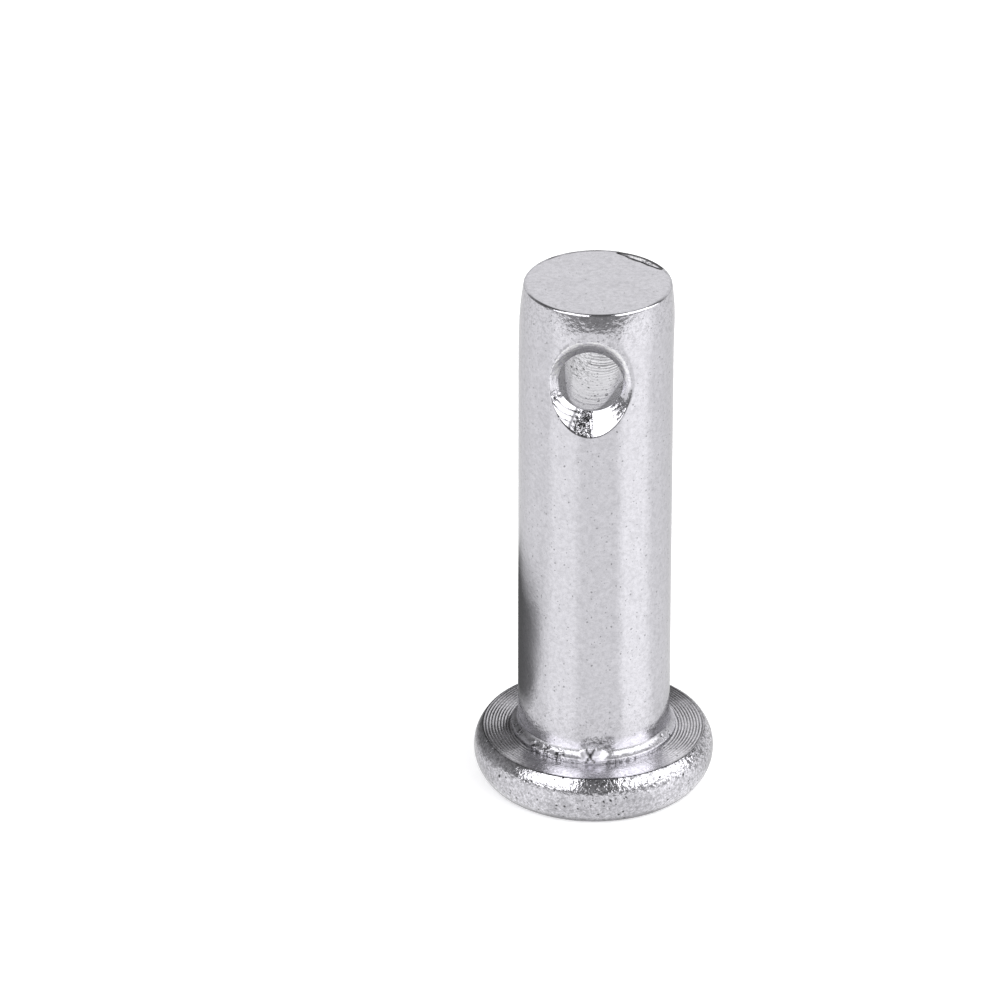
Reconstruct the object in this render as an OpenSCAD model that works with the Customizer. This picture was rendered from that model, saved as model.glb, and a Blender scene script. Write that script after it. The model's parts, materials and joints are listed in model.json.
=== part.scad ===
// Flat head clevis pin with a countersunk cross hole for a split pin.
// One turned piece. It stands on its head, with the origin at the middle of
// the head's flat foot and +Z along the pin. The cross hole runs along Y.

/* [Head] */
// Largest diameter of the head, at the widest circle of its barrel-shaped rim
head_d = 7.9; // [7.6:0.05:10]
// Thickness of the head, from its foot to the bearing face
head_h = 1.71; // [1.3:0.01:2.6]
// Height of the rim's widest circle above the foot
rim_z = 0.95; // [0.6:0.01:1.2]
// How far the rim draws in, from its widest circle to the bearing face
rim_top_in = 0.28; // [0.1:0.01:0.45]
// How far the rim draws in, from its widest circle to the foot
rim_foot_in = 0.47; // [0.1:0.01:0.6]

/* [Shank] */
// Diameter of the shank
shank_d = 5; // [4:0.05:6]
// Length of the pin under its head, from the bearing face to the flat tip
shank_l = 16.24; // [12:0.01:40]

/* [Root of the shank] */
// Radius of the fillet where the shank runs into the head
fillet_r = 0.3; // [0.25:0.01:1]
// How far the fillet runs out from the shank before it stops
fillet_out = 0.22; // [0.1:0.01:0.26]
// Small step that facing the bearing face left at the fillet's toe
fillet_step = 0.05; // [0.02:0.01:0.15]

/* [Tip] */
// Length of the gentle crown that ends in the tip
crown_l = 1.5; // [0.5:0.05:2]
// How far the crown would draw in by the end of the pin
crown_in = 0.1; // [0.02:0.01:0.12]
// How far the edge of the flat tip lies in from the shank's surface
tip_in = 0.16; // [0.14:0.01:0.3]
// Radius of the rounded edge between the crown and the flat tip
edge_r = 0.22; // [0.2:0.01:0.6]
// Lean of the rounded edge where it meets the flat tip
edge_lean = 60; // [50:1:75]

/* [Cross hole] */
// Diameter of the hole for the split pin
hole_d = 2.1; // [1.2:0.05:2.6]
// Distance from the flat tip to the hole's axis
hole_from_tip = 2.62; // [2.2:0.01:4]
// Width of the front countersink's cone, measured from the hole's wall outwards
countersink_w = 0.66; // [0.3:0.01:0.8]
// Width of the light edge break at the back mouth, measured the same way
back_break_w = 0.15; // [0.05:0.01:0.6]
// Included angle of the countersink and of the edge break
countersink_angle = 96; // [80:1:120]

/* [Wear] */
// How deep the chip in the tip's edge reaches below the flat tip
chip_h = 0.04; // [0.02:0.01:0.2]
// How far the chip reaches in from the edge of the flat tip
chip_in = 0.19; // [0.1:0.01:0.4]
// Direction of the chip, turned from +X towards +Y
chip_angle = 57; // [0:1:359]
// Diameter of the round nick in the toe of the fillet
nick_d = 0.36; // [0.2:0.02:0.5]
// Direction of the nick, turned from +X towards +Y
nick_angle = 274; // [0:1:359]

/* [Hidden] */
$fn = 180;

head_r = head_d / 2;
shank_r = shank_d / 2;
hole_r = hole_d / 2;
tip_r = shank_r - tip_in;
// Overall length, and the heights of the crown's start and the cross hole's axis
pin_l = head_h + shank_l;
crown_z = pin_l - crown_l;
hole_z = pin_l - hole_from_tip;
// Height of the fillet's arc, and the radius of its toe
fillet_h = sqrt(fillet_r ^ 2 - (fillet_r - fillet_out) ^ 2);
toe_r = shank_r + fillet_out;
// How far cutting tools reach past the surface that they cut
reach = 1;

// Section of a round band of height h that rises straight up from radius r0
// and then narrows by inward along a single arc
module arc_band(r0, h, inward) {
    arc_r = (inward ^ 2 + h ^ 2) / (2 * inward);
    arc_x = r0 - arc_r;
    intersection() {
        square([r0, h]);
        union() {
            translate([arc_x, 0]) circle(arc_r);
            if (arc_x > 0) square([arc_x, h]);
        }
    }
}

// Section of the barrel-shaped head
module head_section() {
    translate([0, rim_z]) {
        arc_band(head_r, head_h - rim_z, rim_top_in);
        mirror([0, 1]) arc_band(head_r, rim_z, rim_foot_in);
    }
}

// Section of the fillet, with its step onto the bearing face
module fillet_section() {
    top = fillet_step + fillet_h;
    translate([0, head_h]) difference() {
        square([toe_r, top]);
        translate([shank_r + fillet_r, top]) circle(fillet_r);
    }
}

// Section of the straight shank and its crown
module shank_section() {
    translate([0, head_h]) square([shank_r, crown_z - head_h]);
    translate([0, crown_z]) arc_band(shank_r, crown_l, crown_in);
}

// What the rounded edge takes off the section at the tip
module edge_cut() {
    translate([tip_r - edge_r * cos(edge_lean), pin_l - edge_r * sin(edge_lean)])
        difference() {
            square(edge_r + reach);
            circle(edge_r);
        }
}

// The pin as it comes off the lathe
module turned_blank() {
    rotate_extrude() difference() {
        union() {
            head_section();
            fillet_section();
            shank_section();
        }
        edge_cut();
    }
}

// Cone of width w that opens one mouth of the cross hole, along +Z from inside the pin
module countersink(w) {
    spread = tan(countersink_angle / 2);
    depth = w / spread;
    translate([0, 0, shank_r - depth])
        cylinder(r1 = hole_r, r2 = hole_r + w + reach * spread, h = depth + reach);
}

// The drilled cross hole, countersunk in front and lightly broken at the back
module cross_hole() {
    translate([0, 0, hole_z]) {
        rotate([90, 0, 0]) cylinder(r = hole_r, h = shank_d + 2 * reach, center = true);
        rotate([90, 0, 0]) countersink(countersink_w);
        rotate([-90, 0, 0]) countersink(back_break_w);
    }
}

// Chip broken out of the tip's edge
module tip_chip() {
    rotate([0, 0, chip_angle])
        translate([tip_r - chip_in, -shank_r, pin_l - chip_h])
            cube([shank_r, shank_d, chip_h + reach]);
}

// Round nick knocked into the toe of the fillet
module toe_nick() {
    rotate([0, 0, nick_angle])
        translate([toe_r, 0, head_h + fillet_step + nick_d / 4]) sphere(d = nick_d);
}

module clevis_pin() {
    color("silver") difference() {
        turned_blank();
        cross_hole();
        tip_chip();
        toe_nick();
    }
}

clevis_pin();
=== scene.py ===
"""Looks of a flat head clevis pin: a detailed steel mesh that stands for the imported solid."""

import json
import math

import bmesh
import bpy
import numpy as np
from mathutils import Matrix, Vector, noise


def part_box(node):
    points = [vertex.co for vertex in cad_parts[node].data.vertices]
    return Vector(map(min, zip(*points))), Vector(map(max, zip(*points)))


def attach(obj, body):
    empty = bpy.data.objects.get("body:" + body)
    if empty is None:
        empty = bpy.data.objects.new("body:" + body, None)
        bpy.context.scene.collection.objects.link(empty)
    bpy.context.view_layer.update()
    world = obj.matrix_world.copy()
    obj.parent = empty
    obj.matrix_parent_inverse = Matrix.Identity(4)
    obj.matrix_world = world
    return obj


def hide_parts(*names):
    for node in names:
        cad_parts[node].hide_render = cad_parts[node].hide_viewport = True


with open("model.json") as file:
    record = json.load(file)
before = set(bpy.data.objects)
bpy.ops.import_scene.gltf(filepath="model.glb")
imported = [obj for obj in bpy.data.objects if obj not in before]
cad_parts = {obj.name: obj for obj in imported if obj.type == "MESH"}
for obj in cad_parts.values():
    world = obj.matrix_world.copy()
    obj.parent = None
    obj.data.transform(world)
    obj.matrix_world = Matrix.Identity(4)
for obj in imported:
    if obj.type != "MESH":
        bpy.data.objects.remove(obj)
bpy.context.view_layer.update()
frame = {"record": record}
record = frame["record"]
MM = 0.001

# Driving sizes in millimetres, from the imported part
mounts = {mount["name"]: mount for mount in record["mounts"]}
cross_hole = mounts["cross_hole"]
box_top = np.array(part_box("clevis_pin")[1]) / MM
PIN_L = box_top[2]
HEAD_R = box_top[0]
HEAD_H = mounts["bearing_face"]["pos_m"][2] / MM
SHANK_R = mounts["shank"]["dims"]["r_mm"]
HOLE_R = cross_hole["dims"]["r_mm"]
HOLE_Z = cross_hole["pos_m"][2] / MM
# How far the bore's round wall reaches in front of the pin's axis and behind it
BORE_FRONT = cross_hole["dims"]["length_mm"] / 2 - cross_hole["pos_m"][1] / MM
BORE_BACK = cross_hole["dims"]["length_mm"] / 2 + cross_hole["pos_m"][1] / MM

# Sizes of the section that the record does not state
RIM_Z = 0.95
RIM_TOP_IN = 0.28
RIM_FOOT_IN = 0.47
RIM_EDGE_R = 0.08
FILLET_R = 0.3
FILLET_OUT = 0.22
TOE_EDGE_R = 0.05
TOE_STEP = 0.17
CROWN_L = 1.5
CROWN_IN = 0.12
EDGE_R = 0.11
EDGE_DROP = 0.082
COUNTERSINK_TAN = math.tan(math.radians(48))

# The rim's upper arc, and the rounded edge between it and the bearing face
RIM_ARC = (RIM_TOP_IN ** 2 + (HEAD_H - RIM_Z) ** 2) / (2 * RIM_TOP_IN)
RIM_EDGE_RISE = HEAD_H - RIM_Z - RIM_EDGE_R
RIM_EDGE_OUT = math.sqrt((RIM_ARC - RIM_EDGE_R) ** 2 - RIM_EDGE_RISE ** 2)
FACE_OUTER = HEAD_R - RIM_ARC + RIM_EDGE_OUT
FACE_INNER = SHANK_R + FILLET_OUT + 0.02

# The crown's arc, and the rounded edge between it and the flat tip
CROWN_Z = PIN_L - CROWN_L
CROWN_ARC = (CROWN_IN ** 2 + CROWN_L ** 2) / (2 * CROWN_IN)
EDGE_START = math.asin((CROWN_L - EDGE_DROP) / CROWN_ARC)
EDGE_CENTRE_R = SHANK_R - CROWN_ARC + (CROWN_ARC - EDGE_R) * math.cos(EDGE_START)
EDGE_CENTRE_Z = CROWN_Z + (CROWN_ARC - EDGE_R) * math.sin(EDGE_START)
EDGE_LEAN = math.asin((PIN_L - EDGE_CENTRE_Z) / EDGE_R)
TIP_R = EDGE_CENTRE_R + EDGE_R * math.cos(EDGE_LEAN)
# How far the tip stands off the axis, to the right of the hole
TIP_SHIFT = 0.045

# Wear on the tip: a bright ledge broken out of its edge
CHIP_ANGLE = math.radians(54.4)
CHIP_BORDER = TIP_R - 0.3
CHIP_HALF_L = 0.9
CHIP_H = 0.03
# Wear on the fillet's toe: direction in degrees, half width and depth of each chip
TOE_CHIPS = (
    (196, 0.10, 0.010),
    (207, 0.12, 0.010),
    (228, 0.14, 0.010),
    (239, 0.16, 0.015),
    (250, 0.16, 0.020),
    (336, 0.08, 0.015),
    (344, 0.08, 0.015),
)
# A burr that fills the fillet
BURR_ANGLE = 274.5
BURR_W = 0.33
BURR_H = 0.2
BURR_Z = 0.18

# Heights above the bearing face between which the toe is worn
TOE_WEAR = (0.004, 0.56)

# Rings that the facing tool left on the bearing face
GROOVE_PITCH = 0.098
GROOVE_DEPTH = 0.03
GROOVE_STEPS = 4
# Pitch of the drill's helix in the bore, and of its finer rings
DRILL_HELIX = 0.35
DRILL_RINGS = 0.2

# The view: its turn from the front of the cross hole, its tilt, its place in metres and its lens
VIEW_TURN = math.radians(5.77)
VIEW_TILT = math.radians(62.06)
VIEW_PLACE = (0.01872, -0.21600, 0.12503)
VIEW_LENS = 271.93
VIEW_SENSOR = 36.0

# Mesh density
COLUMNS = 320
HOLE_COLUMNS = 80
HOLE_ROWS = 48
CONE_ROWS = 30
BORE_ROWS = 60
RIM_LOWER_STEPS = 12
RIM_UPPER_STEPS = 11
SMALL_EDGE_STEPS = 6
FILLET_STEPS = 14
SHANK_STEPS = 18
CROWN_STEPS = 6
TIP_EDGE_STEPS = 9
# Radii of the rings that divide the foot's flat
FOOT_RINGS = (1.2, 2.4, 3.1)
# Heights of the shank's first rows above the fillet
ROOT_ROWS = (0.02, 0.05, 0.1, 0.2, 0.3, 0.4, 0.5)
# How far two measures may lie apart and still count as the same
TOLERANCE = 0.001

# What is painted on the vertices: change of colour, which carries wear as well as painted shade and
# painted highlights, added roughness and torn metal
PAINTS = ("tone", "blur", "torn")
# Material slots of the mesh
SHANK, RIM, FACE, ROOT, TIP, CONE, BORE = range(7)

THETA = np.arange(COLUMNS) * 2 * math.pi / COLUMNS
# Square patch of the shank's grid that gives way to rings round the hole
PATCH_HALF = 2.1
PATCH_LOW = HOLE_Z - PATCH_HALF
PATCH_HIGH = HOLE_Z + PATCH_HALF


# Helpers


def smoothstep(x, start, end):
    """Eases from 0 at start to 1 at end."""
    t = np.clip((np.asarray(x, float) - start) / (end - start), 0, 1)
    return t * t * (3 - 2 * t)


def bell(x, middle, half_width):
    """1 in the middle, falling to nearly nothing at twice the half width."""
    return np.exp(-((np.asarray(x, float) - middle) / half_width) ** 2)


def wobble(points, scale, seed):
    """Smooth noise between -1 and 1 at points in millimetres, with features about 1 / scale wide."""
    shift = Vector((17.3, 5.1, 9.7)) * seed
    values = [noise.noise(Vector(p) * scale + shift) for p in points.reshape(-1, 3)]
    return np.array(values).reshape(points.shape[:-1])


def crown_radius(z):
    """Radius of the shank's surface at a height, straight below and crowned near the tip."""
    rise = np.clip(np.asarray(z, float) - CROWN_Z, 0, None)
    return SHANK_R - CROWN_ARC + np.sqrt(CROWN_ARC ** 2 - rise ** 2)


def arc_points(centre, radius, start, end, steps):
    """Points on an arc in the section, with angles counted from outwards to upwards."""
    angles = np.linspace(start, end, steps + 1)
    return [(centre[0] + radius * math.cos(a), centre[1] + radius * math.sin(a)) for a in angles]


# The turned section, from the foot to the tip


def rim_section():
    """The foot, the barrel-shaped rim and its rounded upper edge."""
    foot_r = HEAD_R - RIM_FOOT_IN
    foot_arc = (RIM_FOOT_IN ** 2 + RIM_Z ** 2) / (2 * RIM_FOOT_IN)
    lean = math.atan2(RIM_EDGE_RISE, RIM_EDGE_OUT)
    foot = [(r, 0.0) for r in (*FOOT_RINGS, foot_r - 0.04)]
    low_angle = -math.asin(RIM_Z / foot_arc)
    side = arc_points((HEAD_R - foot_arc, RIM_Z), foot_arc, low_angle, 0, RIM_LOWER_STEPS)
    top = arc_points((HEAD_R - RIM_ARC, RIM_Z), RIM_ARC, 0, lean, RIM_UPPER_STEPS)
    edge_centre = (FACE_OUTER, HEAD_H - RIM_EDGE_R)
    edge = arc_points(edge_centre, RIM_EDGE_R, lean, math.pi / 2, SMALL_EDGE_STEPS)
    return [(RIM, foot + side + top[1:] + edge[1:-1])]


def groove_section():
    """The bearing face with its turned rings: grooves between ridges."""
    steps = round((FACE_OUTER - FACE_INNER) / GROOVE_PITCH) * GROOVE_STEPS
    points = []
    for i in range(steps + 1):
        phase = i % GROOVE_STEPS / GROOVE_STEPS
        depth = GROOVE_DEPTH * (1 - abs(1 - 2 * phase))
        points.append((FACE_OUTER + (FACE_INNER - FACE_OUTER) * i / steps, HEAD_H - depth))
    return [(FACE, points)]


def fillet_section():
    """The step that facing left at the fillet's toe, its edge, and the arc up to the straight shank."""
    toe_r = SHANK_R + FILLET_OUT
    edge_z = HEAD_H + TOE_STEP - TOE_EDGE_R
    swing = math.acos(1 - FILLET_OUT / (FILLET_R + TOE_EDGE_R))
    step = [(toe_r, z) for z in np.linspace(HEAD_H + 0.01, edge_z, 4)[:-1]]
    edge = arc_points((toe_r - TOE_EDGE_R, edge_z), TOE_EDGE_R, 0, swing, SMALL_EDGE_STEPS)
    arc_z = edge_z + (TOE_EDGE_R + FILLET_R) * math.sin(swing)
    arc = arc_points((SHANK_R + FILLET_R, arc_z), FILLET_R, math.pi + swing, math.pi, FILLET_STEPS)
    return [(ROOT, step + edge + arc[1:])]


def shank_sections():
    """The straight shank below the hole's patch, and the rows of that patch."""
    straight_z = fillet_section()[0][1][-1][1]
    low = [straight_z + rise for rise in ROOT_ROWS]
    middle = list(np.linspace(low[-1], PATCH_LOW, SHANK_STEPS + 1)[1:-1])
    below = [(SHANK_R, z) for z in low + middle]
    heights = np.linspace(PATCH_LOW, PATCH_HIGH, HOLE_ROWS + 1)
    beside = [(float(crown_radius(z)), z) for z in heights]
    return [(SHANK, below), (SHANK, beside)]


def tip_sections():
    """The end of the crown, the rounded edge and the flat tip."""
    heights = np.linspace(PATCH_HIGH, PIN_L - EDGE_DROP, CROWN_STEPS + 1)[1:-1]
    crown = [(float(crown_radius(z)), z) for z in heights]
    edge = arc_points((EDGE_CENTRE_R, EDGE_CENTRE_Z), EDGE_R, EDGE_START, EDGE_LEAN, TIP_EDGE_STEPS)
    insets = [0.004, *np.arange(0.02, 0.32, 0.02), 0.36, 0.5, 0.8, 1.2, 1.6, 2.0]
    flat = [(TIP_R - inset, PIN_L) for inset in insets]
    return [(SHANK, crown + edge), (TIP, flat)]


def section_rows():
    """All rows of the turned surface from the foot up, with their slots and the patch's first row."""
    sections = rim_section() + groove_section() + fillet_section()
    sections += shank_sections() + tip_sections()
    rows, slots = [], []
    for slot, points in sections:
        rows += points
        slots += [slot] * len(points)
    first = next(i for i, row in enumerate(rows) if abs(row[1] - PATCH_LOW) < TOLERANCE)
    return np.array(rows), slots, first


# The turned surface, its wear and its painted shade and highlights


def turned_surface():
    """Vertex positions of the worn turned surface, as a grid of rows and columns, and their paints."""
    rows, slots, first = section_rows()
    r = np.repeat(rows[:, 0:1], COLUMNS, axis=1)
    z = np.repeat(rows[:, 1:2], COLUMNS, axis=1)
    grid = np.stack([r * np.cos(THETA), r * np.sin(THETA), z], axis=2)
    tone, blur, torn = np.zeros((3, *r.shape))
    chip_tip(grid, tone, torn)
    shade_edges_and_scuff_rim(grid, tone, torn)
    wear_and_shade_face(grid, tone)
    chip_toe(grid, tone, blur, torn)
    raise_burr(grid, tone, blur, torn)
    darken_root_patch(grid, tone, torn)
    torn += np.where((z > HEAD_H + 0.4) & (z < PIN_L - 0.01), shank_scuffs(z), 0)
    paints = np.maximum(tone, -0.9), blur, np.clip(torn, 0, 1)
    return grid, paints, slots, first


def chip_tip(grid, tone, torn):
    """Breaks a ledge out of the tip's edge and paints it lighter, with painted shade in the crack behind
    it, along its outer rim and at its end.
    """
    x, y, z = np.moveaxis(grid, 2, 0)
    top = z > PIN_L - 0.1
    past = x * math.cos(CHIP_ANGLE) + y * math.sin(CHIP_ANGLE) - CHIP_BORDER
    along = y * math.cos(CHIP_ANGLE) - x * math.sin(CHIP_ANGLE)
    past += 0.04 * wobble(grid, 5, 3)
    broken = smoothstep(np.abs(along), CHIP_HALF_L + 0.08, CHIP_HALF_L)
    crack = broken * bell(past, 0.02, 0.05)
    ledge = broken * smoothstep(past, 0.05, 0.1)
    rim = ledge * smoothstep(np.hypot(x, y), TIP_R - 0.09, TIP_R - 0.04)
    end = ledge * bell(along, 0.72, 0.16)
    drop = 0.05 * crack + CHIP_H * ledge
    grid[..., 2] = np.where(top, np.minimum(z, PIN_L - drop), z)
    # painted shade in the crack, along the ledge's outer rim and at its end; the ledge painted lighter
    tone += np.where(top, 0.35 * ledge - 0.9 * crack - 1.4 * rim - 0.7 * end, 0)
    torn += np.where(top, 0.8 * (ledge - rim), 0)


def shade_edges_and_scuff_rim(grid, tone, torn):
    """Paints shade on the thin lines where the flat tip and the bearing face end, wider and darker at
    the tip's back, and scuffs the rim's top.
    """
    radius = np.hypot(grid[..., 0], grid[..., 1])
    height = grid[..., 2]
    uneven = np.clip(0.5 + 0.7 * wobble(grid, 2.5, 4), 0.15, 0.85)
    back = smoothstep(grid[..., 1], 0.3, 1.6)
    width = 0.02 + 0.06 * back
    tip_edge_shade = smoothstep(radius, TIP_R - width - 0.03, TIP_R - width)
    tip_edge_shade *= smoothstep(height, PIN_L - 0.08, PIN_L - 0.03)
    face_edge_shade = bell(radius, FACE_OUTER + 0.02, 0.035) * bell(height, HEAD_H, 0.06)
    # painted shade: dark lines along the edges of the flat tip and of the bearing face
    tone -= tip_edge_shade * uneven * (0.3 + 0.7 * back) + face_edge_shade * (0.4 + 0.4 * uneven)
    scuffed = 0.3 + 0.3 * smoothstep(grid[..., 0], 0.0, 1.5)
    torn += scuffed * smoothstep(height, 1.05, 1.3) * smoothstep(radius, FACE_OUTER, FACE_OUTER + 0.03)


def wear_and_shade_face(grid, tone):
    """Wears the bearing face's rings nearly flat towards the view; paints shade in the grooves and
    highlights on the ridges, fainter towards the view, and paints the face lighter towards the view.
    """
    radius = np.hypot(grid[..., 0], grid[..., 1])
    sunk = HEAD_H - grid[..., 2]
    rings = (radius < FACE_OUTER + TOLERANCE) & (radius > FACE_INNER - TOLERANCE)
    rings &= np.abs(sunk) < 0.1
    from_front = np.abs((np.degrees(THETA - VIEW_TURN) + 270) % 360 - 180)
    keep = 0.08 + 0.92 * smoothstep(from_front, 44, 72)
    grid[..., 2] = np.where(rings, HEAD_H - sunk * keep, grid[..., 2])
    uneven = 1 + 0.8 * wobble(grid, 1.5, 6)
    # painted shade in the grooves and painted highlights on the ridges, and the face painted lighter
    # towards the view
    lines = np.maximum(keep, 0.25) * uneven * (0.25 - 0.95 * sunk / GROOVE_DEPTH)
    tone += np.where(rings, lines + 0.14 * (1 - keep), 0)


def toe_rows(grid):
    """Which rows of the grid belong to the fillet and its toe."""
    height = grid[:, 0, 2] - HEAD_H
    return (height > TOE_WEAR[0]) & (height < TOE_WEAR[1])


def arc_from(points, angle):
    """Signed distance round the pin from a direction in degrees, and the radius, in millimetres."""
    radius = np.hypot(points[..., 0], points[..., 1])
    turn = np.degrees(np.arctan2(points[..., 1], points[..., 0]))
    return radius * np.radians((turn - angle + 180) % 360 - 180), radius


def push_out(points, radius, amount):
    """Moves points away from the pin's axis."""
    points[..., 0] *= 1 + amount / radius
    points[..., 1] *= 1 + amount / radius


def chip_toe(grid, tone, blur, torn):
    """Roughens the fillet's toe, paints a highlight on its edge and shade low on it and on its step, and
    knocks the chips out of it.
    """
    rows = toe_rows(grid)
    toe = grid[rows]
    rise = toe[..., 2] - HEAD_H
    facets = wobble(toe, 9, 1)
    low = smoothstep(rise, 0.4, 0.25)
    cut = 0.015 * np.clip(wobble(toe, 3, 2) + 0.6 * facets, 0, 1)
    edge = bell(rise, TOE_STEP, 0.04)
    step = smoothstep(rise, 0.14, 0.1)
    # painted highlight on the toe's edge, painted shade low on the toe and on its step
    tone[rows] += 0.1 * edge - 0.1 * low - 0.3 * step
    blur[rows] += 0.1 * low + 0.2 * edge
    torn[rows] += 0.25 * low + 0.35 * step
    for angle, half_width, depth in TOE_CHIPS:
        arc, radius = arc_from(toe, angle)
        near = np.exp(-(arc / half_width) ** 4) * low
        cut += depth * near * (0.6 + 1.2 * facets)
        torn[rows] += near
    push_out(toe, radius, -np.clip(cut * low, 0, radius - SHANK_R + 0.04))
    grid[rows] = toe


def raise_burr(grid, tone, blur, torn):
    """Fills the fillet with a small burr, painted with a highlight and with the shade of two crossed
    creases in its left part.
    """
    rows = toe_rows(grid)
    toe = grid[rows]
    arc, radius = arc_from(toe, BURR_ANGLE)
    rise = toe[..., 2] - HEAD_H - BURR_Z
    lump = np.exp(-(arc / BURR_W) ** 4 - (rise / BURR_H) ** 4)
    pale = np.exp(-(arc / BURR_W) ** 4 - ((rise - 0.06) / 0.3) ** 4)
    cross = np.abs(arc + 0.08)
    bent = 0.05 * wobble(toe, 9, 7)
    crease_shade = bell(cross - 0.8 * np.abs(rise - 0.1) + bent, 0, 0.035) * smoothstep(cross, 0.17, 0.13)
    fill = np.clip(SHANK_R + FILLET_OUT + 0.06 - radius, 0.02, None)
    push_out(toe, radius, lump * fill)
    grid[rows] = toe
    # painted highlight on the burr, painted shade in its two crossed creases
    tone[rows] += pale * (0.5 - 1.5 * crease_shade)
    blur[rows] += 0.4 * pale
    torn[rows] *= 1 - 0.7 * pale


def darken_root_patch(grid, tone, torn):
    """Darkens a patch of the shank above the burr and gives it torn metal."""
    arc, radius = arc_from(grid, BURR_ANGLE)
    rise = grid[..., 2] - HEAD_H
    root_patch = smoothstep(np.abs(arc - 0.18), 0.6, 0.4) * smoothstep(np.abs(rise - 0.62), 0.34, 0.2)
    root_patch *= radius < SHANK_R + 0.05
    # the patch is painted darker
    tone -= 0.2 * root_patch
    torn += 0.4 * root_patch


def shank_scuffs(z):
    """Share of torn metal on the shank, which is scuffed towards its tip and its root."""
    return 0.17 * smoothstep(z, PIN_L - 1.8, PIN_L - 0.8) + 0.13 * smoothstep(z, 6, 3)


# The cross hole


def hole_side(side):
    """Grid columns beside the hole, from left to right as x grows, on the front (-1) or back (+1)."""
    middle = COLUMNS * (3 if side < 0 else 1) // 4
    span = range(-HOLE_COLUMNS // 2, HOLE_COLUMNS // 2 + 1)
    return [(middle + (k if side < 0 else -k)) % COLUMNS for k in span]


def patch_loop(side, first):
    """Row and column of each grid vertex around the hole's patch, in one loop."""
    columns = hole_side(side)
    last = first + HOLE_ROWS
    loop = [(first, c) for c in columns[:-1]]
    loop += [(i, columns[-1]) for i in range(first, last)]
    loop += [(last, c) for c in reversed(columns[1:])]
    loop += [(i, columns[0]) for i in range(last, first, -1)]
    return loop


def crease_lines(rho, angles):
    """Three creases round the countersink's lower left."""
    turn = np.degrees(angles) % 360
    lined = smoothstep(turn, 192, 205) * smoothstep(turn, 248, 238)
    slant = 0.12 * (angles % (2 * math.pi) - math.radians(220))
    return lined * sum(bell(rho + slant, middle, 0.022) for middle in (1.22, 1.36, 1.5))


def torn_block(angles):
    """Where the cutter tore the countersink's lower wall."""
    turn = np.degrees(angles) % 360
    return smoothstep(turn, 252, 256) * smoothstep(turn, 277, 267)


def cone_distance(rho, angles, side):
    """Distance of the countersink's wall from the pin's axis, with the cutter's marks in front."""
    if side > 0:
        return BORE_BACK + (rho - HOLE_R) / COUNTERSINK_TAN
    marks = 0.008 * torn_block(angles) * np.sin(angles * 71) * np.sin(rho * 9 + angles * 13)
    marks -= 0.012 * crease_lines(rho, angles)
    marks += 0.001 * np.sin(2 * math.pi * rho / 0.12)
    return BORE_FRONT + (rho - HOLE_R) / COUNTERSINK_TAN + marks


def upper_share(angles):
    """1 on the countersink's upper half, easing to 0 on its lower half."""
    return smoothstep(np.sin(angles), -0.3, 0.25)


def cone_paint(x, z, angles):
    """The front countersink's paint: torn metal where the cutter marked it, a darker torn block, painted
    shade in the creases, a dark line beside the torn block, and painted light on a rougher upper half.
    """
    turn = np.degrees(angles) % 360
    upper = upper_share(angles)
    torn = torn_block(angles) + 0.5 * bell(turn, 322, 8) + 0.2 * upper
    torn += 0.8 * smoothstep(turn, 188, 196) * smoothstep(turn, 214, 206)
    # painted light on the upper half, painted shade in the creases
    tone = 0.5 * upper - 0.75 * bell(turn, 245.5, 2.5) - 0.6 * crease_lines(np.hypot(x, z), angles)
    tone -= 0.3 * torn_block(angles)
    return {"tone": np.maximum(tone, -0.9), "blur": 0.3 * upper, "torn": torn}


def mouth_softness(angles, side):
    """How widely the mouth's edge is rounded over: most at the upper right of the front."""
    if side > 0:
        return np.full(len(angles), 0.03)
    return 0.03 + 0.27 * smoothstep(np.cos(angles - math.radians(60)), -0.2, 0.7)


def shank_distance(x, z):
    """Distance of the shank's surface from the plane through the pin's axis that the hole crosses."""
    return np.sqrt(crown_radius(HOLE_Z + z) ** 2 - x ** 2)


def mouth_surface(x, z, angles, side):
    """Distance at which the countersink's wall or the shank is met first, rounded over between them."""
    shank = shank_distance(x, z)
    cone = cone_distance(np.hypot(x, z), angles, side)
    soft = mouth_softness(angles, side)
    blend = np.clip(1 - np.abs(shank - cone) / soft, 0, 1)
    return np.minimum(shank, cone) - soft * blend ** 2 / 4


def mouth_radius(angles, side):
    """Radius round the hole's axis at which the countersink's wall meets the shank."""
    widest = 2.2
    halvings = 40
    near, far = np.full(len(angles), HOLE_R), np.full(len(angles), widest)
    for _ in range(halvings):
        rho = (near + far) / 2
        x, z = rho * np.cos(angles), rho * np.sin(angles)
        inside = cone_distance(rho, angles, side) < shank_distance(x, z)
        near, far = np.where(inside, rho, near), np.where(inside, far, rho)
    return np.maximum(rho, HOLE_R + 0.015)


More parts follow.
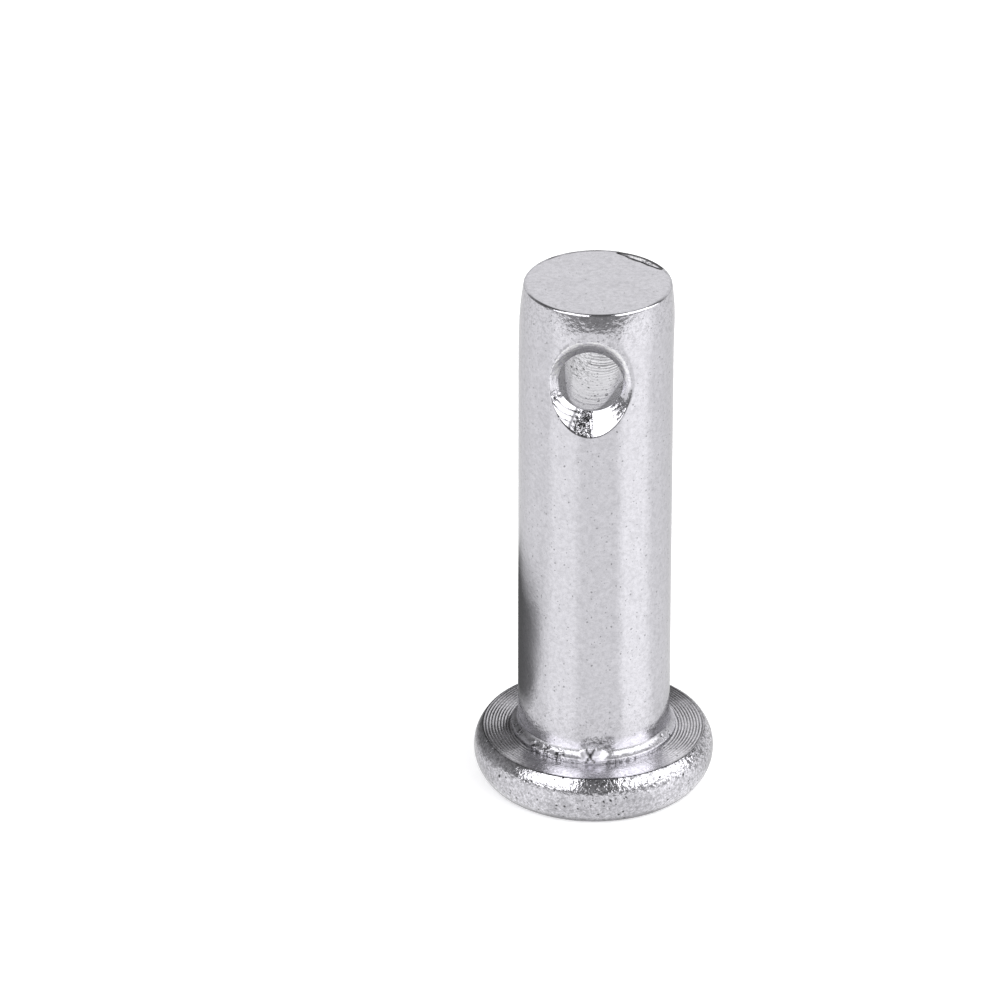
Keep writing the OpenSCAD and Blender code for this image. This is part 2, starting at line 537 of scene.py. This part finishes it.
def hole_rings(side, border):
    """Rings from the patch's border in to the mouth, then down the countersink to the bore's edge."""
    border_x, border_z = border[:, 0], border[:, 2] - HOLE_Z
    angles = np.arctan2(border_z / PATCH_HALF, border_x / np.abs(border_x).max())
    mouth = mouth_radius(angles, side)
    lower = smoothstep(-np.sin(angles), 0.1, 0.6)
    shares = (0.8, 0.62, 0.47, 0.36, 0.27, 0.19, 0.13, 0.08, 0.04, 0.0)
    places = []
    for share in shares:
        x = mouth * np.cos(angles) * (1 - share) + border_x * share
        z = mouth * np.sin(angles) * (1 - share) + border_z * share
        torn = 0.25 * smoothstep(share, 0.2, 0.0) * (1 - lower) + shank_scuffs(HOLE_Z + z)
        # painted shade: a dark line along the lower half of the mouth's edge
        tone = -0.5 * lower if share == 0 else np.zeros(len(angles))
        places.append((SHANK, x, z, {"tone": tone, "torn": torn}))
    cone_rows = CONE_ROWS if side < 0 else 3
    for share in np.linspace(0, 1, cone_rows + 1)[1:]:
        rho = mouth + (HOLE_R - mouth) * share
        x, z = rho * np.cos(angles), rho * np.sin(angles)
        places.append((CONE, x, z, cone_paint(x, z, angles) if side < 0 else {}))
    rings = []
    for slot, x, z, paints in places:
        y = side * mouth_surface(x, z, angles, side)
        rings.append((slot, np.stack([x, y, HOLE_Z + z], axis=1), paints))
    return rings, angles


def bore_paint(depth, angles):
    """Painted shade inside the bore's front edge, at its left and lower right, and torn metal behind."""
    turn = np.degrees(angles) % 360
    reach = 2.6 * bell(turn, 180, 32) + 1.3 * bell(turn, 325, 30)
    # painted shade at the bore's front left and lower right
    bore_shade = smoothstep(depth, reach + 0.1, reach - 0.1)
    torn = smoothstep(-np.cos(angles), 0.1, 0.33) * (1 - bore_shade) * smoothstep(depth, 1.3, 2.3)
    return {"tone": -0.6 * bore_shade, "torn": 0.45 * torn}


def bore_rings(angles, front_y, back_y):
    """Rings along the bore with the drill's helical marks, which are deeper towards the back."""
    rings = []
    for share in np.linspace(0, 1, BORE_ROWS + 1)[1:-1]:
        y = front_y + (back_y - front_y) * share
        depth = 0.002 + 0.006 * smoothstep(y, 0.4, 1.8)
        r = HOLE_R + depth * np.sin(2 * math.pi * y / DRILL_HELIX + angles)
        x, z = r * np.cos(angles), r * np.sin(angles)
        rings.append((np.stack([x, y, HOLE_Z + z], axis=1), bore_paint(y - front_y, angles)))
    return rings


# The mesh


class Skin:
    """Collects one closed surface: vertices with paints, and faces with a material slot."""

    def __init__(self):
        self.points = []
        self.paints = {name: [] for name in PAINTS}
        self.faces = []
        self.slots = []

    def add(self, points, **paints):
        """Adds painted vertices and gives back their numbers."""
        start = len(self.points)
        self.points += [tuple(p) for p in points]
        for name, values in self.paints.items():
            values += list(paints.get(name, [0.0] * len(points)))
        return list(range(start, start + len(points)))

    def face(self, corners, slot):
        """Adds one face."""
        self.faces.append(tuple(corners))
        self.slots.append(slot)

    def bridge(self, ring_a, ring_b, slot):
        """Joins two rings of vertices by a band of faces."""
        for k in range(len(ring_a)):
            self.face((ring_a[k - 1], ring_a[k], ring_b[k], ring_b[k - 1]), slot)

    def fan(self, ring, centre, slot):
        """Closes a ring with triangles round a centre."""
        middle = self.add([centre])[0]
        for k in range(len(ring)):
            self.face((ring[k - 1], ring[k], middle), slot)


def add_turned(skin):
    """Adds the turned surface and gives back the vertices round the hole's two openings in it."""
    grid, paints, slots, first = turned_surface()
    rows = []
    for i in range(len(grid)):
        rows.append(skin.add(grid[i], **{name: values[i] for name, values in zip(PAINTS, paints)}))
    open_columns = set()
    for side in (-1, 1):
        columns = hole_side(side)
        open_columns |= {max(pair) for pair in zip(columns, columns[1:])}
    for i in range(1, len(rows)):
        for c in range(COLUMNS):
            if first < i <= first + HOLE_ROWS and c in open_columns:
                continue
            skin.face((rows[i - 1][c - 1], rows[i - 1][c], rows[i][c], rows[i][c - 1]), slots[i])
    skin.fan(rows[0], (0, 0, 0), RIM)
    skin.fan(rows[-1], (0, 0, PIN_L), TIP)
    return {side: [rows[i][c] for i, c in patch_loop(side, first)] for side in (-1, 1)}


def add_hole(skin, borders):
    """Adds the mouths, the countersink and the bore between the two openings."""
    ends = {}
    for side, border in borders.items():
        rings, angles = hole_rings(side, np.array([skin.points[v] for v in border]))
        previous = border
        for slot, ring, paints in rings:
            vertices = skin.add(ring, **paints)
            skin.bridge(previous, vertices, slot)
            previous = vertices
        ends[side] = previous
    front_y, back_y = (np.array([skin.points[v][1] for v in ends[side]]) for side in (-1, 1))
    previous = ends[-1]
    for ring, paints in bore_rings(angles, front_y, back_y):
        vertices = skin.add(ring, **paints)
        skin.bridge(previous, vertices, BORE)
        previous = vertices
    skin.bridge(previous, ends[1], BORE)


def build_pin(materials):
    """The whole pin as one closed mesh, in metres."""
    skin = Skin()
    add_hole(skin, add_turned(skin))
    points = np.array(skin.points)
    points[:, 0] += TIP_SHIFT * smoothstep(points[:, 2], HOLE_Z, PIN_L)
    mesh = bpy.data.meshes.new("clevis_pin_steel")
    mesh.from_pydata([tuple(p) for p in points * MM], [], skin.faces)
    mesh.polygons.foreach_set("material_index", skin.slots)
    for name, values in skin.paints.items():
        mesh.attributes.new(name, "FLOAT", "POINT").data.foreach_set("value", values)
    for material in materials:
        mesh.materials.append(material)
    work = bmesh.new()
    work.from_mesh(mesh)
    loose = [v for v in work.verts if not v.link_faces]
    bmesh.ops.delete(work, geom=loose, context="VERTS")
    bmesh.ops.recalc_face_normals(work, faces=work.faces)
    work.to_mesh(mesh)
    work.free()
    mesh.shade_smooth()
    mesh.set_sharp_from_angle(angle=math.radians(32))
    pin = bpy.data.objects.new("clevis_pin_steel", mesh)
    bpy.context.collection.objects.link(pin)
    return pin


# Steel


class Nodes:
    """Short calls for building a node tree."""

    def __init__(self, tree):
        self.tree = tree
        tree.nodes.clear()

    def make(self, kind, **settings):
        """Adds a node."""
        node = self.tree.nodes.new(kind)
        for name, value in settings.items():
            setattr(node, name, value)
        return node

    def feed(self, socket, value):
        """Links an output to a socket, or sets the socket's value."""
        if isinstance(value, bpy.types.NodeSocket):
            self.tree.links.new(value, socket)
        else:
            socket.default_value = value

    def math(self, operation, a, b=0.0):
        """Works out one operation on two numbers."""
        node = self.make("ShaderNodeMath", operation=operation)
        self.feed(node.inputs[0], a)
        self.feed(node.inputs[1], b)
        return node.outputs[0]

    def add(self, a, b):
        return self.math("ADD", a, b)

    def times(self, a, b):
        return self.math("MULTIPLY", a, b)

    def ramp(self, value, start, end, low=0.0, high=1.0):
        """Eases from low at start to high at end."""
        node = self.make("ShaderNodeMapRange", interpolation_type="SMOOTHSTEP")
        settings = {"Value": value, "From Min": start, "From Max": end, "To Min": low, "To Max": high}
        for name, setting in settings.items():
            self.feed(node.inputs[name], setting)
        return node.outputs["Result"]

    def scaled(self, vector, scale):
        """Multiplies a vector's three parts by those of a scale."""
        node = self.make("ShaderNodeVectorMath", operation="MULTIPLY")
        self.feed(node.inputs[0], vector)
        self.feed(node.inputs[1], scale)
        return node.outputs[0]

    def split(self, vector):
        """Gives a vector's three parts."""
        node = self.make("ShaderNodeSeparateXYZ")
        self.feed(node.inputs[0], vector)
        return node.outputs

    def paint(self, name):
        """What is painted on the mesh's vertices under a name."""
        return self.make("ShaderNodeAttribute", attribute_name=name).outputs["Fac"]

    def noise(self, place, scale, detail):
        """Noise about 0, mostly between -0.2 and 0.2."""
        node = self.make("ShaderNodeTexNoise")
        self.feed(node.inputs["Vector"], place)
        self.feed(node.inputs["Scale"], scale)
        self.feed(node.inputs["Detail"], detail)
        return self.math("SUBTRACT", node.outputs["Fac"], 0.5)

    def shift(self, place, amount, scale):
        """Pushes places about at random, so that what lies on them gets ragged."""
        warp = self.make("ShaderNodeTexNoise")
        self.feed(warp.inputs["Vector"], place)
        self.feed(warp.inputs["Scale"], scale)
        moved = self.make("ShaderNodeVectorMath", operation="MULTIPLY_ADD")
        self.feed(moved.inputs[0], warp.outputs["Color"])
        self.feed(moved.inputs[1], (amount, amount, amount))
        self.feed(moved.inputs[2], place)
        return moved.outputs[0]

    def pits(self, place, scale, share, size):
        """Scattered round hollows: 1 in their middle and 0 between them."""
        node = self.make("ShaderNodeTexVoronoi")
        self.feed(node.inputs["Vector"], place)
        self.feed(node.inputs["Scale"], scale)
        split = self.make("ShaderNodeSeparateColor")
        self.feed(split.inputs[0], node.outputs["Color"])
        chosen = self.math("LESS_THAN", split.outputs[0], share)
        width = self.add(self.times(split.outputs[1], size * 0.7), size * 0.5)
        nearness = self.math("DIVIDE", node.outputs["Distance"], width)
        return self.times(self.ramp(nearness, 0.4, 1.0, 1.0, 0.0), chosen)


STEEL_COLOUR = (0.632, 0.624, 0.662)
# Lighter copies of the steel for the bearing face and the bore: painted light, standing in for light
# that these surfaces lack
LIT_FACE_COLOUR = (0.70, 0.69, 0.725)
LIT_BORE_COLOUR = (0.72, 0.715, 0.745)


def drill_marks(n, place):
    """Fine rings that the drill left in the bore, strongest at its back and to the right."""
    x, y, _ = n.split(n.shift(place, 0.12, 2.0))
    wave = n.math("SINE", n.times(y, 2 * math.pi / DRILL_RINGS))
    weight = n.times(n.ramp(y, 0.2, 1.4, 0.12, 1.0), n.ramp(x, -0.6, 0.1, 0.15, 1.0))
    return n.times(wave, weight)


def torn_metal(n, place):
    """Ragged light and dark metal: its colour about 0 and its height in millimetres."""
    knots = n.noise(place, 8.5, 2.0)
    cracks = n.ramp(n.math("ABSOLUTE", knots), 0.01, 0.045, 1.0, 0.0)
    hollows = n.ramp(n.noise(n.scaled(place, (-1, 1, 1)), 7.0, 2.0), 0.05, 0.1)
    dark = n.math("MAXIMUM", cracks, hollows)
    return n.add(n.times(dark, -1.2), 0.35), n.times(knots, 0.045)


def steel(name, roughness, grain, speckle, relief, scuff=0.0, pit_share=0.0, pit_tone=0.0,
          pit_depth=0.0, pit_grain=4.5, stretch=(1, 1, 1), wave=0.0, root=0.0, colour=STEEL_COLOUR,
          marks=None):
    """Bright tumbled stainless steel, with its relief in millimetres.

    grain is how many fine marks lie on a millimetre and stretch how they are drawn out. pit_share is
    the share of places that have a pit, pit_grain how many such places lie on a millimetre and pit_depth
    how deep the pits are. speckle and pit_tone change the colour, scuff is a share of torn metal all
    over, wave is slow unevenness, root is added roughness near the head, and marks are machining marks.
    """
    material = bpy.data.materials.new(name)
    material.use_nodes = True
    n = Nodes(material.node_tree)
    out = n.make("ShaderNodeOutputMaterial")
    bsdf = n.make("ShaderNodeBsdfPrincipled")
    n.feed(out.inputs["Surface"], bsdf.outputs["BSDF"])
    coord = n.make("ShaderNodeTexCoord")
    place = n.scaled(coord.outputs["Object"], (1 / MM, 1 / MM, 1 / MM))

    cloud = n.noise(place, 1.2, 3.0)
    fine = n.noise(n.scaled(place, stretch), grain, 3.0)
    ragged = n.shift(place, 0.08, 9.0)
    small = n.times(n.pits(ragged, 9.0, pit_share, 0.25), n.ramp(cloud, -0.12, 0.12))
    pit = n.math("MAXIMUM", n.pits(ragged, pit_grain, pit_share * 0.5, 0.26), small)
    tone_paint, blur_paint, torn_paint = (n.paint(paint) for paint in PAINTS)

    tone = n.add(n.add(n.times(fine, speckle), n.times(cloud, 0.1)), 1.0)
    tone = n.times(tone, n.add(n.times(pit, -pit_tone), 1.0))
    height = n.add(n.times(fine, relief), n.times(pit, -pit_depth))
    if wave:
        height = n.add(height, n.times(n.noise(place, 0.8, 1.0), wave))
    if marks:
        pattern = marks(n, place)
        tone = n.times(tone, n.add(n.times(pattern, 0.35), 1.0))
        height = n.add(height, n.times(pattern, 0.008))
    torn_tone, torn_height = torn_metal(n, place)
    torn = n.math("MAXIMUM", torn_paint, scuff)
    tone = n.times(tone, n.add(n.times(torn_tone, torn), 1.0))
    height = n.add(height, n.times(torn_height, torn))
    tone = n.times(tone, n.add(tone_paint, 1.0))
    mixed = n.make("ShaderNodeVectorMath", operation="SCALE")
    n.feed(mixed.inputs[0], colour)
    n.feed(mixed.inputs["Scale"], tone)
    n.feed(bsdf.inputs["Base Color"], mixed.outputs[0])
    bsdf.inputs["Metallic"].default_value = 1.0

    rough = n.add(n.add(n.times(cloud, roughness * 0.5), roughness), blur_paint)
    if root:
        rough = n.add(rough, n.ramp(n.split(place)[2], HEAD_H + 0.3, HEAD_H + 1.2, root, 0.0))
    n.feed(bsdf.inputs["Roughness"], rough)
    bump = n.make("ShaderNodeBump")
    n.feed(bump.inputs["Distance"], MM)
    n.feed(bump.inputs["Height"], height)
    n.feed(bsdf.inputs["Normal"], bump.outputs["Normal"])
    return material


# Studio


def from_view(azimuth, distance):
    """A place on the floor at an azimuth in degrees, counted from the camera's side to the right."""
    turn = VIEW_TURN + math.radians(azimuth)
    return Vector((distance * math.sin(turn), -distance * math.cos(turn), 0))


# Each soft lamp's name, span of azimuth from the camera's side, span of elevation and glow
LAMPS = (
    ("lamp_left", (-70, -18), (10, 62), 2.4),
    ("lamp_right", (29, 100), (10, 62), 2.4),
    ("lamp_low", (72, 100), (0.5, 10), 1.6),
)
LAMP_DISTANCE = 0.5


def add_panel(name, span, elevations, glow):
    """An upright soft lamp that fills two spans in degrees, seen from the pin."""
    bottom, top = (LAMP_DISTANCE * math.tan(math.radians(e)) for e in elevations)
    data = bpy.data.lights.new(name, "AREA")
    data.shape = "RECTANGLE"
    data.size = 2 * LAMP_DISTANCE * math.tan(math.radians(span[1] - span[0]) / 2)
    data.size_y = top - bottom
    data.energy = glow * math.pi * data.size * data.size_y
    lamp = bpy.data.objects.new(name, data)
    bpy.context.collection.objects.link(lamp)
    middle = from_view((span[0] + span[1]) / 2, LAMP_DISTANCE)
    lamp.location = middle + Vector((0, 0, (bottom + top) / 2))
    lamp.rotation_euler = (-middle).to_track_quat("-Z", "Y").to_euler()


def add_sheet(name, corners, material):
    """A flat stage piece through four corners, turned with the view."""
    mesh = bpy.data.meshes.new(name)
    mesh.from_pydata(corners, [], [(0, 1, 2, 3)])
    mesh.materials.append(material)
    sheet = bpy.data.objects.new(name, mesh)
    bpy.context.collection.objects.link(sheet)
    sheet.rotation_euler = (0, 0, VIEW_TURN)
    return sheet


def add_reflection_card():
    """A low dark glowing sheet at the pin's left, slanting back and fading out, which only the metal
    mirrors: a painted dark reflection low on the shank and the head.
    """
    front_end = (-12 * MM, -4.5 * MM)
    back_end = (3 * MM, 10.5 * MM)
    high = 11 * MM
    material = bpy.data.materials.new("card_grey")
    material.use_nodes = True
    n = Nodes(material.node_tree)
    out = n.make("ShaderNodeOutputMaterial")
    coord = n.make("ShaderNodeTexCoord")
    right, _, up = n.split(coord.outputs["Object"])
    # painted reflection: a dim glow that is no lamp, darker towards the back
    glow = n.make("ShaderNodeEmission")
    n.feed(glow.inputs["Strength"], n.ramp(right, -10 * MM, -4 * MM, 0.34, 0.11))
    clear = n.make("ShaderNodeBsdfTransparent")
    below = n.add(up, n.times(right, -0.6))
    ends = n.times(n.ramp(right, -11.5 * MM, -6.5 * MM), n.ramp(right, -1.5 * MM, 3 * MM, 1.0, 0.0))
    edges = n.times(n.ramp(up, 0.0, 1.2 * MM, 0.4, 1.0), n.ramp(below, 7.5 * MM, 10.5 * MM, 1.0, 0.0))
    corner = n.ramp(n.add(up, n.times(right, 1.5)), -0.3 * MM, 1.7 * MM, 1.0, 0.0)
    low = n.ramp(n.add(up, n.times(right, 0.4)), 2.5 * MM, 5 * MM, 1.0, 0.0)
    shown = n.times(n.times(ends, edges), n.math("MAXIMUM", corner, low))
    fade = n.make("ShaderNodeMixShader")
    n.feed(fade.inputs[0], shown)
    n.feed(fade.inputs[1], clear.outputs[0])
    n.feed(fade.inputs[2], glow.outputs[0])
    n.feed(out.inputs["Surface"], fade.outputs[0])
    corners = [(*front_end, 0), (*back_end, 0), (*back_end, high), (*front_end, high)]
    card = add_sheet("card", corners, material)
    card.visible_camera = False
    card.visible_diffuse = False
    card.visible_shadow = False


def set_world():
    """White to the camera; to the metal, a pale sweep behind and a dim room elsewhere."""
    world = bpy.data.worlds.new("studio")
    bpy.context.scene.world = world
    world.use_nodes = True
    n = Nodes(world.node_tree)
    out = n.make("ShaderNodeOutputWorld")
    glow = n.make("ShaderNodeBackground")
    n.feed(out.inputs[0], glow.outputs[0])
    coord = n.make("ShaderNodeTexCoord")
    _, y, z = n.split(coord.outputs["Generated"])
    sweep = n.times(n.ramp(y, 0.4, 0.7), n.ramp(z, 0.02, 0.09))
    sweep = n.times(sweep, n.ramp(z, 0.75, 0.9, 1.0, 0.2))
    dim = n.ramp(z, 0.3, 0.65, 0.3, 0.2)
    room = n.add(n.times(sweep, 0.92), dim)
    rays = n.make("ShaderNodeLightPath")
    diffuse = rays.outputs["Is Diffuse Ray"]
    shiny = n.times(n.math("SUBTRACT", 1.0, diffuse), room)
    lit = n.add(shiny, n.times(diffuse, 0.85))
    n.feed(glow.inputs["Strength"], n.math("MAXIMUM", lit, rays.outputs["Is Camera Ray"]))


def floor_glow(n):
    """What the metal sees of the floor, painted: brighter before the lamps, with painted shade near the
    head and a painted contact shadow round its foot, and dark past its front edge.
    """
    coord = n.make("ShaderNodeTexCoord")
    right, back, _ = n.split(coord.outputs["Object"])
    front = n.times(back, -1.0)
    azimuth = n.math("DEGREES", n.math("ARCTAN2", right, front))
    lobe_right = n.times(n.ramp(azimuth, 28, 44), n.ramp(azimuth, 70, 94, 1.0, 0.0))
    lobe_left = n.times(n.ramp(azimuth, -74, -60), n.ramp(azimuth, -32, -18, 1.0, 0.0))
    lobes = n.add(n.times(lobe_right, 0.3), n.times(lobe_left, 0.17))
    level = n.add(lobes, n.ramp(n.math("ABSOLUTE", azimuth), 95, 150, 0.96, 0.78))
    sheet = n.ramp(front, 0.053, 0.062, 1.0, 0.3)
    reach = n.math("SQRT", n.add(n.times(right, right), n.times(back, back)))
    # painted shade near the head and a painted contact shadow round its foot
    near_level = n.ramp(n.math("ABSOLUTE", azimuth), 40, 90, 0.88, 0.74)
    near = n.ramp(reach, 4 * MM, 9 * MM, near_level, 1.0)
    contact = n.ramp(reach, 3.5 * MM, 3.8 * MM, 0.45, 1.0)
    return n.times(n.times(level, sheet), n.times(near, contact))


def add_floor():
    """A plain white floor that keeps the pin's shadow."""
    material = bpy.data.materials.new("floor_white")
    material.use_nodes = True
    n = Nodes(material.node_tree)
    out = n.make("ShaderNodeOutputMaterial")
    rays = n.make("ShaderNodeLightPath")
    paint = n.make("ShaderNodeBsdfDiffuse")
    n.feed(paint.inputs["Color"], (0.92, 0.92, 0.925, 1))
    lift = n.make("ShaderNodeEmission")
    n.feed(lift.inputs["Strength"], n.times(rays.outputs["Is Camera Ray"], 0.25))
    seen = n.make("ShaderNodeAddShader")
    n.feed(seen.inputs[0], paint.outputs[0])
    n.feed(seen.inputs[1], lift.outputs[0])
    mirrored = n.make("ShaderNodeEmission")
    n.feed(mirrored.inputs["Strength"], floor_glow(n))
    pick = n.make("ShaderNodeMixShader")
    n.feed(pick.inputs[0], rays.outputs["Is Glossy Ray"])
    n.feed(pick.inputs[1], seen.outputs[0])
    n.feed(pick.inputs[2], mirrored.outputs[0])
    n.feed(out.inputs["Surface"], pick.outputs[0])
    half = 2.0
    corners = [(-half, -half, 0), (half, -half, 0), (half, half, 0), (-half, half, 0)]
    add_sheet("floor", corners, material)


def add_camera():
    """The photograph's view: a long lens that looks down on the pin."""
    data = bpy.data.cameras.new("view")
    data.sensor_width = VIEW_SENSOR
    data.lens = VIEW_LENS
    data.clip_start = 0.01
    camera = bpy.data.objects.new("view", data)
    bpy.context.collection.objects.link(camera)
    camera.location = VIEW_PLACE
    camera.rotation_euler = (VIEW_TILT, 0, VIEW_TURN)
    bpy.context.scene.camera = camera


# The pin in its studio
materials = [
    steel("steel_shank", 0.1, grain=7, speckle=0.35, relief=0.002, scuff=0.08, pit_share=0.45,
          pit_tone=0.5, pit_depth=0.004, pit_grain=6.5, wave=0.035, root=0.22),
    steel("steel_rim", 0.12, grain=10, speckle=1.3, relief=0.006, scuff=0.2, pit_share=1.0,
          pit_tone=0.9, pit_depth=0.014),
    steel("steel_face", 0.27, grain=10, speckle=1.0, relief=0.006, scuff=0.1, pit_share=0.5,
          pit_tone=0.4, pit_depth=0.006, colour=LIT_FACE_COLOUR),
    steel("steel_root", 0.2, grain=9, speckle=0.6, relief=0.006, pit_share=0.4, pit_tone=0.3,
          pit_depth=0.004, stretch=(0.4, 0.4, 1.6)),
    steel("steel_tip", 0.15, grain=6, speckle=0.35, relief=0.002, scuff=0.09, pit_share=0.25,
          pit_tone=0.3, pit_depth=0.005, wave=0.03),
    steel("steel_cone", 0.1, grain=9, speckle=0.2, relief=0.006, pit_share=0.3, pit_tone=0.3,
          pit_depth=0.004),
    steel("steel_bore", 0.2, grain=9, speckle=0.4, relief=0.006, pit_share=0.9, pit_tone=0.8,
          pit_depth=0.01, colour=LIT_BORE_COLOUR, marks=drill_marks),
]
pin = build_pin(materials)
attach(pin, "root")
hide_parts("clevis_pin")

add_camera()
add_floor()
add_reflection_card()
set_world()
for lamp in LAMPS:
    add_panel(*lamp)
bpy.context.scene.view_settings.view_transform = "Standard"
